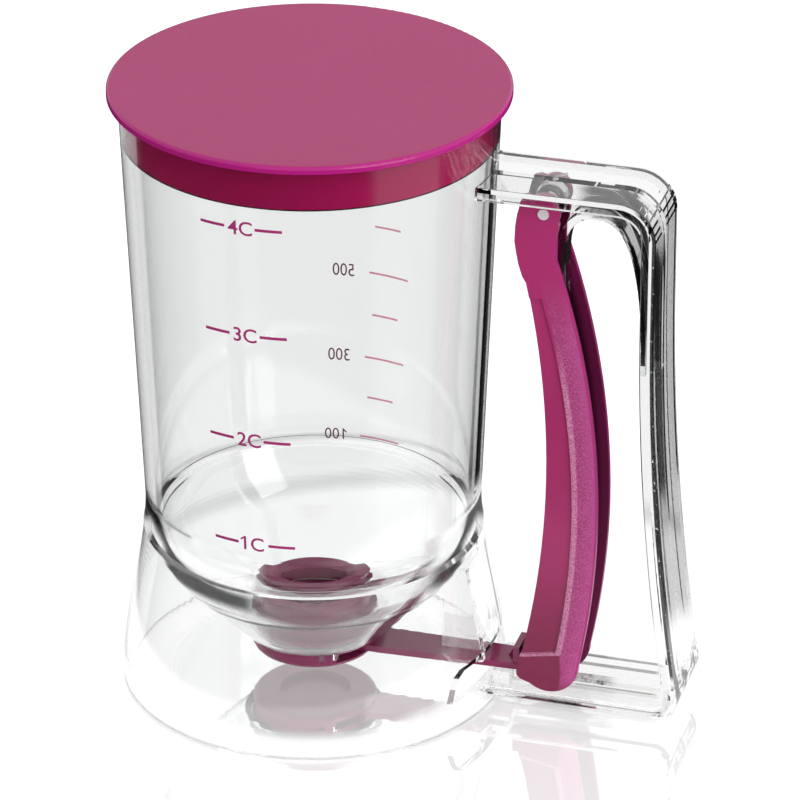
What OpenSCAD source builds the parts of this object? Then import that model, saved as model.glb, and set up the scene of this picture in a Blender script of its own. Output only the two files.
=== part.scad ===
// Batter dispenser: a clear hopper on a flared stand, with a C-shaped handle. Squeezing the trigger
// under the handle swings its foot towards the handle, and the foot draws a flat gate out from
// under the hopper's outlet. Letting go lets a torsion spring close the gate again.
//
// Millimetres. +Z is up, +X points from the hopper to the handle, and the floor is at Z = 0. Each
// module draws in a frame whose Z axis is the hopper's own axis; on_axis() then moves that axis so
// that the origin lies under the middle of the whole dispenser.

/* [Hopper] */
// Height of the dispenser over the lid
total_h = 186.5; // [180:0.5:200]
// Outer radius of the hopper at its rim
rim_r = 54; // [52:0.2:57]
// Outer radius where the tapered wall turns into the funnel
bowl_r = 48.7; // [47:0.1:50]
// Height of that turn
bowl_z = 58.7; // [57:0.1:62]
// Radius of the round turn from the wall into the funnel's cone
bowl_round = 38.2; // [36:0.1:40]
// Angle of that turn, which sets the slope of the cone
cone_turn = 43.7; // [42:0.1:45]
// Height of the neck's lower edge
neck_z = 14.3; // [14:0.1:14.8]
// Length of the neck
neck_l = 4; // [3.6:0.1:4.6]
// Thickness of the hopper wall
hopper_wall = 2.8; // [2.2:0.1:3.2]
// Bore of the neck that holds the valve
neck_bore_r = 17.3; // [17:0.1:17.6]
// Thickness of the neck wall
neck_wall = 1.8; // [1.4:0.1:2.2]
// Height of the seat ring round the foot of the hopper wall
ring_h = 2.4; // [2:0.1:3]
// How far the seat ring stands out from the wall
ring_out = 0.2; // [0.1:0.05:0.6]
// Width of the bonded seams between the clear mouldings
seam = 0.02; // [0.01:0.01:0.05]

/* [Lid] */
// Radius of the lid's brim
brim_r = 57; // [56:0.5:60]
// Thickness of the brim
brim_t = 2.2; // [1.8:0.1:3]
// Depth of the plug ring inside the hopper mouth
plug_h = 12.8; // [9:0.2:16]
// Thickness of the plug ring
plug_wall = 2; // [1.4:0.1:2.6]
// Gap round the plug ring
plug_gap = 0.3; // [0.2:0.05:0.5]
// Depth of the rebate that the plug ring sits in
rebate_deep = 1.0; // [0.6:0.1:1.2]

/* [Stand] */
// Outer radius of the stand at the floor
foot_r = 56.4; // [54:0.2:58]
// Thickness of the stand wall
stand_wall = 2.2; // [1.8:0.1:2.4]
// Half the width of the window that the gate comes out through, at its foot
window_half = 26.5; // [20:0.5:28]
// Height of the foot of that window
window_z = 8.3; // [7.5:0.1:9]
// Height of its top edge
window_top = 16.4; // [16:0.1:18]
// Half the width over the two plates that the gate's strip runs between
guide_half = 9; // [8:0.2:10]
// Reach of their inner edge
guide_reach = 40.8; // [40:0.2:43]

/* [Handle] */
// Furthest reach of the handle from the hopper's axis
handle_reach = 112.4; // [110:0.2:116]
// Reach of the straight stretch of the grip bar
grip_reach = 103.1; // [101:0.1:105]
// Height of the handle's top face
handle_top = 166.4; // [163:0.2:170]
// Height of the underside of the bottom bar
bar_z = 3.9; // [3:0.1:4.4]
// Half the width of the handle at the top
handle_half_top = 13.1; // [12:0.1:15]
// Half the width of the handle at the floor
handle_half_foot = 14.1; // [12:0.1:15]
// Thickness of the outer plate
plate_t = 2; // [1.6:0.1:2.4]
// Depth of the side lips, outer face to edge
lip_h = 3.9; // [3.2:0.1:4.6]
// Thickness of the side lips
lip_t = 1.8; // [1.4:0.1:2.2]
// Thickness of the central web
web_t = 3; // [2.4:0.1:3.6]
// Width of the rounded inner band along the finger arch
band_w = 10; // [8:0.5:10.5]
// Thickness of that band
band_t = 2; // [1.6:0.1:2.4]

/* [Trigger] */
// Distance of the pivot from the hopper's axis
pivot_x = 69.9; // [69.6:0.1:70.2]
// Depth of the pivot under the handle's top face
pivot_drop = 8.1; // [8:0.1:8.6]
// Radius of the ears round the pivot
ear_r = 4.7; // [4.6:0.1:5]
// Reach of the lever's back edge at its fullest point
back_reach = 71.4; // [71:0.1:71.8]
// Radius of the long curve of the back edge
back_r = 275; // [268:1:285]
// Height of the fullest point of the back edge
back_z = 77.8; // [75:0.2:80]
// Depth of the grip from its back edge to its front edge
grip_deep = 15.2; // [14:0.1:16]
// Angle that the trigger swings through, in degrees, before its spine meets the stop
squeeze = 9.3; // [8.5:0.1:9.4]
// Radius of the long curve of the front edge
front_r = 250; // [246:0.5:260]
// Height of the fullest point of the front edge
front_z = 64.7; // [61:0.1:68]
// Width of the trigger over its two cheeks
trigger_w = 16; // [15.4:0.1:17]
// Thickness of each cheek
cheek_t = 2; // [1.6:0.1:2.2]
// Thickness of the spine that joins the cheeks
spine_t = 2.4; // [2:0.1:2.6]
// Radius of the rounded foot
foot_round = 8.7; // [8:0.1:9.2]
// Width of the raised border along the front edge
border_w = 7.4; // [6:0.2:8]
// Depth of the smooth panel beside that border
panel_deep = 0.6; // [0.3:0.1:0.8]

/* [Valve] */
// Radius of the outlet
outlet_r = 10.5; // [9:0.1:10.8]
// Thickness of the gate
gate_t = 2; // [1.6:0.1:2]
// Running gap above and below the gate
gate_gap = 0.2; // [0.15:0.05:0.25]
// Radius of the gate's rounded tongue
tongue_r = 12.8; // [12:0.1:13]
// Half the width of the slot that the gate slides through in the collar
slot_half = 14.8; // [13.6:0.1:15]
// Width of the gate's strip at the valve
strip_w = 12; // [10:0.5:12]
// Width of the strip at the trigger
strip_end_w = 9.5; // [8:0.5:10]
// Height of the valve seat's top over the collar's floor
seat_h = 16.6; // [16:0.1:18]
// Thickness of the collar's floor
floor_t = 1.8; // [1.4:0.1:2.2]

/* [Spring and pin] */
// Radius of the pivot pin
pin_r = 1.6; // [1.4:0.1:1.8]
// Running gap of the pin in the trigger's ears
pin_gap = 0.05; // [0.03:0.01:0.08]
// Diameter of the spring wire
wire_d = 0.9; // [0.6:0.1:0.9]
// Mean radius of the spring's coils
coil_r = 4.1; // [4:0.1:4.3]
// Number of full turns in the spring
coil_turns = 3; // [2:1:3]

/* [Hidden] */
$fn = 96;
slack = 0.01;

// The lid hangs its brim on the hopper's rim.
rim_z = total_h - brim_t;
brim_round = 1;
taper = (rim_r - bowl_r) / (rim_z - bowl_z);
plug_z = rim_z - plug_h;
rebate_z = plug_z - plug_gap;
ledge_r = rim_r - (rim_z - rebate_z) * taper - hopper_wall;
rebate_r = ledge_r + rebate_deep;
plug_r = rebate_r - plug_gap;

// The neck stands in the foot of the funnel.
neck_r = neck_bore_r + neck_wall;
neck_top = neck_z + neck_l;
lug_r = 1;
lug_w = 1.4;
lug_drop = 3;
lug_turn = 13;
lug_side = 61;
lug_root = 1;

// The valve stacks up from the collar's floor: floor, gap, gate, gap, seal, seat.
collar_top = neck_z - gate_gap;
gate_top = neck_z - 2.2;
gate_z = gate_top - gate_t;
floor_top = gate_z - gate_gap;
collar_z = floor_top - floor_t;
collar_r = neck_bore_r + 1;
collar_wall = 1.9;
collar_round = 2;
seal_z = gate_top + gate_gap / 2;
seal_t = 0.8;
seat_top = floor_top + seat_h;
seat_flange = 1;
flange_out = 0.2;
seat_r = neck_bore_r - 0.3;
seat_wall = 1.6;
ledge_in = 0.1;
tube_wall = 1.6;
tube_foot = 1.5;
tube_foot_h = 1;
head_t = 3.4;
funnel = 2.4;
snap_r = seat_r - seat_wall - 0.2;
snap_wall = 1.2;
snap_h = 5;
slot_x = 5;
ring_wire = 0.6;
ring_z = neck_top - 1.6;

// The stand carries the wall's line on under the seat ring and flares with an S-shaped curve.
ring_z0 = bowl_z - 10.2;
stand_steps = 24;
guide_t = 2;
guide_z = gate_top - 0.4;
guide_rise = 2.3;
toe_round = 4;

// The handle's outline: top bar, rounded corner, flaring grip bar, rounded heel and bottom bar.
top_corner = 11;
foot_corner = 8;
flare_z = 131;
flare_end = bar_z + foot_corner;
flare_r = (pow(flare_z - flare_end, 2) + pow(handle_reach - grip_reach, 2))
    / (2 * (handle_reach - grip_reach)) - foot_corner;
flare_turn = asin((flare_z - flare_end) / (flare_r + foot_corner));
arc_steps = 24;
rib_h = 4.4;
shelf_reach = 56;
shelf_l = 5;
shelf_half = 7;

// The finger arch in the web, and the stop for the trigger's spine to the left of it.
pivot_z = handle_top - pivot_drop;
arch_x = 84.6;
arch_top = handle_top - 9.3;
arch_left = 10;
arch_left_h = 16.3;
arch_right = 13.2;
arch_right_h = 46.3;
arch_power = 0.8;
web_foot = arch_top + 0.3;
stop_gap = 0.05;
stop_edge = [for (i = [0:6]) squeezed(pivot_z - 11.6 - 2.95 * i)];
stop_knee = stop_edge[0];
stop_tip = stop_edge[len(stop_edge) - 1];

// The trigger: a crescent between two long arcs, with ears at the pivot and a rounded foot.
front_reach = back_reach + grip_deep;
foot_z = gate_z - 3.9;
foot_mid = foot_z + foot_round;
spine_top = pivot_z - 8.3;
cheek_in = trigger_w / 2 - cheek_t;
ear_points = [[-4.2, -22.8], [-6, -19.8], [-7.1, -16.2], [-7.8, -12.6], [-8.3, -9.2], [-8.1, -4.6],
    [-7.6, -1], [-6.5, 3.4], [-4.6, 4], [0, 3], [3, 0], [4.5, -3], [4.1, -5.2], [3.8, -6.8],
    [3.8, -16.6], [0, -22.8]];
boss_r = pin_r + 1.4;
pin_over = 0.3;
pin_hold = 0.02;

// The gate's strip ends in two lips with the trigger's spine between them.
lip_gap = 0.4;
lip_up = 5.1;
lip_thick = 1.8;
spine_low = back_at(gate_top + 1, back_r);
spine_high = back_at(gate_top + lip_up, back_r + spine_t);
outer_lip = spine_low - lip_gap;
inner_lip = spine_high + lip_gap;
strip_end = inner_lip + lip_thick + 0.8;

// The spring's coil sits round the pivot boss, between the web and one ear. Its long leg presses
// on the trigger's spine and its short leg on the handle's top plate.
coil_steps = 18;
wire_sides = 8;
wire_gap = 0.05;
coil_side_gap = 0.15;
leg_down = 10.3;
leg_x = back_at(pivot_z - leg_down, back_r + spine_t) + wire_d / 2 + wire_gap - pivot_x;
leg_reach = norm([leg_x, leg_down]);
leg_start = 360 + atan2(-leg_down, leg_x) - acos(coil_r / leg_reach);
leg_long = sqrt(pow(leg_reach, 2) - pow(coil_r, 2));
leg_end = 110;
leg_up = pivot_drop - plate_t - wire_d / 2 - wire_gap;
leg_short = (leg_up - coil_r * sin(leg_end)) / -cos(leg_end);
coil_turn = leg_start - leg_end + 360 * coil_turns;
coil_y = web_t / 2 + coil_side_gap + wire_d / 2;
coil_width = cheek_in - coil_side_gap - wire_d / 2 - coil_y;

// The hopper's axis lies half of the difference between the two reaches to the left.
axis_x = -(handle_reach - brim_r) / 2;

// ---- curves and helpers ----

function smooth(t) = t * t * (3 - 2 * t);
function arc(cx, cz, r, a0, a1, n, first = 0) =
    [for (i = [first:n]) let (a = a0 + (a1 - a0) * i / n) [cx + r * cos(a), cz + r * sin(a)]];
function reversed(p) = [for (i = [len(p) - 1:-1:0]) p[i]];
function signed_pow(v, k) = v < 0 ? -pow(-v, k) : pow(v, k);
// A rounded quarter that is squarer than an ellipse: a across, b up, from angle a0 to a1.
function fuller(cx, cz, a, b, a0, a1, n, first = 0) =
    [for (i = [first:n]) let (t = a0 + (a1 - a0) * i / n)
        [cx + a * signed_pow(cos(t), arch_power), cz + b * signed_pow(sin(t), arch_power)]];
// Reach of the trigger's back curve at a height, for the given radius about the same centre.
function back_at(z, r) = back_reach - back_r + sqrt(r * r - pow(z - back_z, 2));
// Reach of its front curve at a height.
function front_at(z) = front_reach - front_r + sqrt(pow(front_r, 2) - pow(z - front_z, 2));
// Outer radius of the hopper's tapered wall, and of the flare below the middle of the bowl.
function wall_at(z) = bowl_r + (z - bowl_z) * taper;
function stand_at(z) = foot_r - (foot_r - bowl_r) * smooth(z / bowl_z);

// A point swung about the pivot by the given angle, foot towards the handle, and the place that a
// point of the spine's inner face comes to when the trigger is squeezed.
function swung(x, z, a) = [pivot_x + (x - pivot_x) * cos(a) - (z - pivot_z) * sin(a),
    pivot_z + (z - pivot_z) * cos(a) + (x - pivot_x) * sin(a)];
function squeezed(z) = swung(back_at(z, back_r + spine_t) + stop_gap, z, squeeze);

module on_axis() {
    translate([axis_x, 0, 0]) children();
}

// Extrude an outline drawn in X and Z by the given width, centred on Y = 0.
module across(width) {
    rotate([90, 0, 0]) linear_extrude(height = width, center = true) children();
}

// Extrude an outline drawn in Y and Z along X.
module along(x0, x1) {
    translate([x0, 0, 0]) rotate([90, 0, 90]) linear_extrude(height = x1 - x0) children();
}

// ---- hopper ----

// Radius of the funnel's cone at a height, for a surface that stands out by the given amount.
function cone_at(z, grow) = bowl_r - bowl_round
    + (bowl_round + grow + (z - bowl_z) * sin(cone_turn)) / cos(cone_turn);

// The funnel under the tapered wall: a round turn that runs on into a cone.
module funnel_outline(grow) {
    turn_z = bowl_z - (bowl_round + grow) * sin(cone_turn);
    polygon([[0, neck_z], [cone_at(neck_z, grow), neck_z], [cone_at(turn_z, grow), turn_z],
        [0, turn_z]]);
    intersection() {
        translate([bowl_r - bowl_round, bowl_z]) circle(r = bowl_round + grow);
        translate([0, turn_z]) square([bowl_r + 1, bowl_z - turn_z]);
    }
}

module hopper_outline() {
    polygon([[0, bowl_z], [bowl_r, bowl_z], [rim_r, rim_z], [0, rim_z]]);
    funnel_outline(0);
    // the wall's line carried down to the stand, and the seat ring on it
    polygon(concat([[0, ring_z0]], flare_curve(ring_z0, bowl_z, 6, 0), [[0, bowl_z]]));
    polygon(concat([[0, ring_z0]], flare_curve(ring_z0, ring_z0 + ring_h, 4, -ring_out),
        [[0, ring_z0 + ring_h]]));
    translate([0, neck_z]) square([neck_r, neck_top - neck_z]);
}

module hopper_hollow() {
    inner_r = bowl_r - hopper_wall;
    difference() {
        union() {
            polygon([[0, bowl_z], [inner_r, bowl_z], [rim_r - hopper_wall, rim_z + slack],
                [0, rim_z + slack]]);
            funnel_outline(-hopper_wall);
            translate([0, rebate_z]) square([rebate_r, plug_h + 1]);
        }
        square([neck_r, neck_top]);
    }
    square([neck_bore_r, neck_top + slack]);
}

// Three pairs of small hooks hang from the neck and hold the outlet collar.
module collar_lugs() {
    for (side = [-lug_side, lug_side, 180], turn = [-lug_turn, lug_turn])
        rotate(side + turn / 2)
            translate([collar_r + gate_gap, -lug_w / 2, neck_z - lug_drop])
                cube([lug_r, lug_w, lug_drop + lug_root]);
}

module hopper() {
    color([0.93, 0.95, 0.95, 0.35]) on_axis() {
        rotate_extrude() difference() {
            hopper_outline();
            hopper_hollow();
        }
        collar_lugs();
    }
}

// ---- stand ----

function flare_curve(z0, z1, steps, inset) =
    [for (i = [0:steps]) let (z = z0 + (z1 - z0) * i / steps) [stand_at(z) - inset, z]];
function stand_curve(inset) = flare_curve(0, ring_z0 - seam, stand_steps, inset);

module stand_shell() {
    rotate_extrude() difference() {
        polygon(concat(stand_curve(0), reversed(stand_curve(stand_wall))));
        funnel_outline(seam);
    }
}

module stand_solid(grow) {
    rotate_extrude() polygon(concat([[0, 0]], stand_curve(-grow), [[0, ring_z0]]));
}

// Two plates run from the wall in to the funnel and keep the gate's strip between them.
module guides() {
    difference() {
        intersection() {
            for (side = [-1, 1]) translate([0, side * (guide_half - guide_t / 2), 0])
                across(guide_t) {
                    polygon([[guide_reach, guide_z + toe_round],
                        [guide_reach + toe_round, guide_z], [foot_r, guide_z + guide_rise],
                        [foot_r, ring_z0 - 6], [guide_reach, ring_z0 - 6]]);
                    intersection() {
                        translate([guide_reach + toe_round, guide_z + toe_round])
                            circle(r = toe_round);
                        translate([guide_reach, guide_z]) square(toe_round);
                    }
                }
            stand_solid(-stand_wall / 2);
        }
        rotate_extrude() funnel_outline(seam);
    }
}

module gate_window() {
    half = [[window_half, window_z], [window_half - 1.8, window_top - 4.2],
        [window_half - 3.6, window_top - 1.5], [window_half - 6.4, window_top]];
    along(foot_r - 14, foot_r + 1)
        polygon(concat(half, [for (p = reversed(half)) [-p.x, p.y]]));
}

module stand() {
    color([0.93, 0.95, 0.95, 0.35]) on_axis() {
        difference() {
            stand_shell();
            gate_window();
        }
        guides();
    }
}

// ---- handle ----

function handle_curve(inset) = concat(
    [[bowl_r - hopper_wall, handle_top - inset]],
    arc(grip_reach - top_corner, handle_top - top_corner, top_corner - inset, 90, 0, 8),
    arc(grip_reach + flare_r, flare_z, flare_r + inset, 180, 180 + flare_turn, arc_steps),
    arc(handle_reach - foot_corner, flare_end, foot_corner - inset, flare_turn, -90, 8, 1),
    [[foot_r - stand_wall - 2, bar_z + inset]]);

module handle_band(inner, outer) {
    polygon(concat(handle_curve(inner), reversed(handle_curve(outer))));
}

// The handle is widest at the top: everything is cut to this wedge.
module handle_wedge(inset) {
    along(0, handle_reach + 1) polygon([
        [-handle_half_foot + inset, 0], [handle_half_foot - inset, 0],
        [handle_half_top - inset, handle_top + 1], [-handle_half_top + inset, handle_top + 1]]);
}

function arch_curve(grow) = concat(
    [[arch_x - arch_left - grow, stop_tip.y]],
    fuller(arch_x, arch_top - arch_left_h, arch_left + grow, arch_left_h + grow, 180, 90, 12),
    fuller(arch_x, arch_top - arch_right_h, arch_right + grow, arch_right_h + grow, 90, 0, 16, 1));

module arch_hole(grow) {
    polygon(concat(arch_curve(grow), [[arch_x + arch_right + grow, back_z],
        [arch_x - arch_left - grow, back_z]]));
}

// Central web: along the whole bar, deep at the top where it carries the pivot and the stop.
module web_outline() {
    handle_band(plate_t - slack, lip_h);
    translate([foot_r - stand_wall - 2, bar_z])
        square([handle_reach - foot_corner - foot_r + stand_wall + 2, rib_h]);
    difference() {
        polygon(concat(
            [[bowl_r, handle_top - plate_t], [bowl_r, web_foot]],
            [[pivot_x - 3.2, web_foot], [pivot_x - 3.2, web_foot - 2.9]], stop_edge,
            [[arch_x, stop_tip.y], [arch_x, arch_top - arch_right_h],
                [grip_reach - plate_t, arch_top - arch_right_h],
                [grip_reach - plate_t, handle_top - top_corner],
                [grip_reach - top_corner, handle_top - plate_t]]));
        arch_hole(0);
    }
}

// Inner band: a rounded rail along the finger arch, and down the stop's front edge.
module arch_band() {
    intersection() {
        difference() {
            arch_hole(band_t);
            arch_hole(0);
        }
        polygon(concat([[0, 0]], reversed(handle_curve(plate_t)), [[0, handle_top]]));
        polygon(concat(stop_edge, [[arch_x, stop_tip.y], [arch_x, arch_top - arch_right_h],
            [grip_reach - lip_h, arch_top - arch_right_h], [grip_reach - lip_h, handle_top],
            [stop_knee.x, handle_top]]));
    }
}

module handle_body() {
    intersection() {
        union() {
            difference() {
                across(4 * handle_half_top) handle_band(0, lip_h);
                intersection() {
                    across(4 * handle_half_top) handle_band(plate_t, lip_h + 1);
                    handle_wedge(lip_t);
                }
            }
            across(web_t) web_outline();
            across(band_w) arch_band();
            translate([shelf_reach, -shelf_half, bar_z])
                cube([shelf_l, 2 * shelf_half, floor_top - bar_z]);
        }
        handle_wedge(0);
    }
    translate([pivot_x, 0, pivot_z]) rotate([90, 0, 0])
        cylinder(r = boss_r, h = band_w, center = true);
}

module handle_frame() {
    color([0.93, 0.95, 0.95, 0.35]) on_axis() difference() {
        handle_body();
        translate([pivot_x, 0, pivot_z]) rotate([90, 0, 0])
            cylinder(r = pin_r + pin_hold, h = band_w + 1, center = true);
        translate([0, 0, bowl_z]) cylinder(r1 = bowl_r + seam, r2 = rim_r + seam,
            h = rim_z - bowl_z);
        stand_solid(seam);
    }
}

// ---- lid ----

module lid() {
    color([0.66, 0.29, 0.48]) on_axis() rotate_extrude() {
        translate([0, rim_z]) square([brim_r - brim_round, brim_t]);
        translate([0, rim_z]) square([brim_r, brim_t - brim_round]);
        translate([brim_r - brim_round, total_h - brim_round]) circle(r = brim_round);
        translate([plug_r - plug_wall, plug_z]) square([plug_wall, plug_h + slack]);
    }
}

// ---- valve ----

module valve_seat() {
    color([0.6, 0.2, 0.42]) on_axis() rotate_extrude() difference() {
        union() {
            // flange at the top and the head below it, and the ledge that sits on the neck
            translate([outlet_r, seat_top - seat_flange])
                square([seat_r + flange_out - outlet_r, seat_flange]);
            translate([outlet_r, seat_top - head_t]) square([seat_r - outlet_r, head_t]);
            translate([seat_r - seat_wall, neck_top])
                square([neck_r - ledge_in - seat_r + seat_wall, seat_flange]);
            // outer wall, and the tube that the batter runs through
            translate([seat_r - seat_wall, collar_top]) square([seat_wall, seat_top - collar_top]);
            translate([outlet_r, seal_z + seal_t])
                square([tube_wall, seat_top - seal_z - seal_t]);
            translate([outlet_r, seal_z + seal_t]) square([tube_wall + tube_foot, tube_foot_h]);
        }
        // funnel mouth, and the groove of the neck seal
        polygon([[outlet_r - 1, seat_top - funnel - 1], [outlet_r, seat_top - funnel],
            [outlet_r + funnel, seat_top], [outlet_r + funnel, seat_top + 1],
            [outlet_r - 1, seat_top + 1]]);
        translate([neck_bore_r - ring_wire, ring_z]) circle(r = ring_wire + slack, $fn = 48);
    }
}

module neck_seal() {
    color([0.88, 0.88, 0.86]) on_axis() translate([0, 0, ring_z]) rotate_extrude()
        translate([neck_bore_r - ring_wire - slack, 0]) circle(r = ring_wire - slack, $fn = 48);
}

module gate_seal() {
    color([0.88, 0.88, 0.86]) on_axis() translate([0, 0, seal_z]) rotate_extrude()
        translate([outlet_r, 0]) square([tube_wall + tube_foot, seal_t]);
}

module outlet_collar() {
    color([0.62, 0.16, 0.39]) on_axis() difference() {
        union() {
            rotate_extrude() {
                // floor and outer wall, rounded along the lower edge
                translate([outlet_r, collar_z])
                    square([collar_r - collar_round - outlet_r, floor_t]);
                intersection() {
                    union() {
                        translate([collar_r - collar_round, collar_z + collar_round])
                            circle(r = collar_round);
                        translate([0, collar_z + collar_round])
                            square([collar_r, collar_top - collar_z - collar_round]);
                    }
                    difference() {
                        translate([outlet_r, collar_z]) square([collar_r, collar_top - collar_z]);
                        translate([0, floor_top])
                            square([collar_r - collar_wall, collar_top]);
                    }
                }
            }
            // snap ring that grips inside the valve seat
            translate([0, 0, floor_top - slack]) difference() {
                cylinder(r = snap_r, h = snap_h);
                translate([0, 0, -1]) cylinder(r = snap_r - snap_wall, h = snap_h + 2);
            }
        }
        // the gate's way out towards the trigger
        translate([slot_x, -slot_half, floor_top])
            cube([collar_r, 2 * slot_half, gate_t + 2 * gate_gap]);
    }
}

// ---- gate ----

module gate_outline() {
    circle(r = tongue_r);
    polygon([[0, -strip_w / 2], [tongue_r + 10, -strip_w / 2], [strip_end, -strip_end_w / 2],
        [strip_end, strip_end_w / 2], [tongue_r + 10, strip_w / 2], [0, strip_w / 2]]);
}

// An upright lip with a small gusset that leans away from the trigger's spine.
module gate_lip(x, lean) {
    translate([x, 0, 0]) {
        across(strip_end_w) translate([0, gate_top - slack])
            square([lip_thick, lip_up + slack]);
        across(1.2) polygon([[lean < 0 ? slack : lip_thick - slack, gate_top - slack],
            [lean < 0 ? -2.4 : lip_thick + 0.7, gate_top - slack],
            [lean < 0 ? slack : lip_thick - slack, gate_top + lip_up - 1]]);
    }
}

module gate_slider() {
    color([0.62, 0.16, 0.39]) on_axis() {
        translate([0, 0, gate_z]) linear_extrude(height = gate_t) gate_outline();
        gate_lip(outer_lip - lip_thick, -1);
        gate_lip(inner_lip, 1);
    }
}

// ---- trigger ----

// Between two circles whose right-hand edges are the lever's back and front curves.
module crescent(back_in, front_in) {
    difference() {
        translate([front_reach - front_r, front_z]) circle(r = front_r - front_in, $fn = 360);
        translate([back_reach - back_r, back_z]) circle(r = back_r + back_in, $fn = 360);
        translate([0, -2 * front_r]) square([2 * front_r, 2 * front_r + foot_mid]);
        translate([0, spine_top]) square([2 * front_r, 2 * front_r]);
        translate([-3 * front_r, -front_r]) square([3 * front_r + bowl_r, 3 * front_r]);
    }
}

module foot_disc() {
    translate([(back_at(foot_mid, back_r) + front_at(foot_mid)) / 2, foot_mid])
        circle(r = (front_at(foot_mid) - back_at(foot_mid, back_r)) / 2);
}

// The foot's lower left corner reaches in over the gate, and slants down to the round.
module foot_toe() {
    b = back_at(foot_mid, back_r);
    polygon([[b, foot_mid], [b - 0.8, foot_z + 5], [b - 0.7, foot_z + 4], [b + 0.3, foot_z + 2.9],
        [b + 7.6, foot_z + 0.4], [b + 8.8, foot_mid]]);
}

module cheek_outline() {
    crescent(0, 0);
    foot_disc();
    foot_toe();
    translate([pivot_x, pivot_z]) circle(r = ear_r);
    // the ear's full shoulder on the hopper's side, and its straight edge towards the grip
    polygon([for (p = ear_points) [pivot_x + p.x, pivot_z + p.y]]);
}

// The spine is the thin strip along the back curve, open below where the gate's strip passes.
module spine_strip() {
    difference() {
        crescent(0, 0);
        crescent(spine_t, 0);
    }
    intersection() {
        difference() {
            foot_disc();
            translate([back_reach - back_r, back_z]) circle(r = back_r, $fn = 360);
        }
        translate([back_reach - back_r, back_z]) circle(r = back_r + spine_t, $fn = 360);
        translate([0, gate_top + 0.6]) square([front_reach, foot_round]);
    }
}

// The smooth sunk panel: the back part of the cheek, clear of the ear and the foot.
module panel_outline() {
    intersection() {
        crescent(-1, border_w);
        polygon([[bowl_r, foot_mid - 0.6], [front_reach, foot_mid + 6.4],
            [front_reach, spine_top - 18], [bowl_r, spine_top - 18]]);
    }
}

module trigger() {
    color([0.61, 0.18, 0.39]) on_axis() difference() {
        union() {
            for (side = [-1, 1]) translate([0, side * (trigger_w - cheek_t) / 2, 0])
                across(cheek_t) cheek_outline();
            across(trigger_w - cheek_t) spine_strip();
        }
        for (side = [-1, 1]) translate([0, side * (trigger_w / 2 + 1 - panel_deep), 0])
            across(2) panel_outline();
        translate([pivot_x, 0, pivot_z]) rotate([90, 0, 0])
            cylinder(r = pin_r + pin_gap, h = trigger_w + 2, center = true);
    }
}

// ---- pin and spring ----

module pivot_pin() {
    color([0.85, 0.86, 0.87]) on_axis() translate([pivot_x, 0, pivot_z]) rotate([90, 0, 0])
        cylinder(r = pin_r, h = trigger_w + 2 * pin_over, center = true);
}

// Centre line of the spring, about the pin. The coil winds from leg_start down to leg_end while it
// creeps along the pin, and each leg leaves it along its tangent.
function coil_point(t) = let (a = leg_start - coil_turn * t)
    [coil_r * cos(a), coil_y + coil_width * t, coil_r * sin(a)];
spring_line = concat(
    [coil_point(0) + leg_long * [-sin(leg_start), 0, cos(leg_start)]],
    [for (i = [0:coil_steps * coil_turns]) coil_point(i / (coil_steps * coil_turns))],
    [coil_point(1) + leg_short * [sin(leg_end), 0, -cos(leg_end)]]);

function unit(v) = v / norm(v);
function heading(p, i) = unit(p[min(i + 1, len(p) - 1)] - p[max(i - 1, 0)]);
// A ring of points round point i of a path, square to its heading.
function wire_ring(p, i, r) = let (h = heading(p, i), u = unit(cross(h, [0, 1, 0.001])),
    v = cross(h, u)) [for (k = [0:wire_sides - 1]) let (a = 360 * k / wire_sides)
        p[i] + r * (cos(a) * u + sin(a) * v)];

module wire(path, r) {
    rings = len(path);
    points = [for (i = [0:rings - 1]) each wire_ring(path, i, r)];
    sides = [for (i = [0:rings - 2], k = [0:wire_sides - 1]) let (n = (k + 1) % wire_sides)
        [i * wire_sides + k, (i + 1) * wire_sides + k, (i + 1) * wire_sides + n,
            i * wire_sides + n]];
    first = [for (k = [0:wire_sides - 1]) k];
    last = [for (k = [wire_sides - 1:-1:0]) (rings - 1) * wire_sides + k];
    polyhedron(points = points, faces = concat([first], sides, [last]), convexity = 6);
}

module return_spring() {
    color([0.8, 0.81, 0.82]) on_axis() translate([pivot_x, 0, pivot_z])
        wire(spring_line, wire_d / 2);
}

hopper();
stand();
handle_frame();
lid();
valve_seat();
neck_seal();
gate_seal();
outlet_collar();
gate_slider();
trigger();
pivot_pin();
return_spring();
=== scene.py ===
# %% [markdown]
# # A batter dispenser in clear and purple plastic
# The object is a clear hopper on a flared stand, with a C-shaped handle, a purple lid and a purple
# trigger. Squeezing the trigger draws a flat gate out from under the hopper. All the rigid forms come
# ready from the CAD model, as one object per piece. This script gives them their finishes, prints the
# two scales on the hopper, and sets up the floor, the light and the camera.

# %% Load the model
import math

import bmesh
import bpy
from mathutils import Matrix, Vector


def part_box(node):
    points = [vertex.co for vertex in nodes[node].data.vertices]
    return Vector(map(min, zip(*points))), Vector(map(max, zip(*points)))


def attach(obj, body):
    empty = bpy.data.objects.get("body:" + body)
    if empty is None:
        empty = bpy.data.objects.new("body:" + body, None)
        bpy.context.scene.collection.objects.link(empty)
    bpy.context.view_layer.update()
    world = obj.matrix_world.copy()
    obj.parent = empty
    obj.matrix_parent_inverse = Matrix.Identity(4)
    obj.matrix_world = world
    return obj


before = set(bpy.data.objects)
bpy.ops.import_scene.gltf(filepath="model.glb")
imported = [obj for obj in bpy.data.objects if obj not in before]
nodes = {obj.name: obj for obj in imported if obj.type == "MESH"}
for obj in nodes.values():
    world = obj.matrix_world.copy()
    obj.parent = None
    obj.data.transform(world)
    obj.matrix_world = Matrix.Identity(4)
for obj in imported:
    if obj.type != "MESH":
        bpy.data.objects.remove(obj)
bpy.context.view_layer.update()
MM = 0.001
print("nodes:", ", ".join(sorted(nodes)))

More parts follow.
